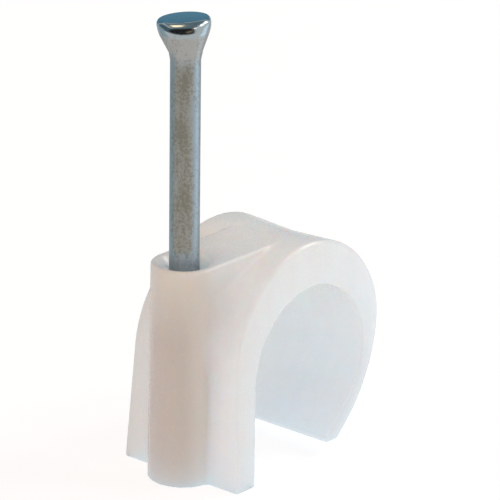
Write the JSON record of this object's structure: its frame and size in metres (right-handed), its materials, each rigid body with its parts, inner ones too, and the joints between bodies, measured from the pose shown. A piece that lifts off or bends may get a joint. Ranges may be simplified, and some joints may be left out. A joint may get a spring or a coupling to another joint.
{
  "type": "nail-in cable clip",
  "caption": "Moulded plastic hook that grips a round cable along a wall, with a half-round boss holding a countersunk steel nail ready to be driven.",
  "frame": {"origin": "axis of the nail on the wall plane, which is the flat foot of the leg and boss", "axes": "+Z out of the wall along the nail towards its head, +Y along the cable, +X from the nail towards the hook"},
  "size_m": [0.0212, 0.0124, 0.0397],
  "materials": {
    "clip_plastic": "natural white moulded polyethylene, slightly translucent, satin",
    "zinc_steel": "bright blue-white zinc plating, mottled, satin"
  },
  "bodies": {
    "root": {"clip_body": "clip_plastic", "nail": "zinc_steel"}
  },
  "joints": []
}
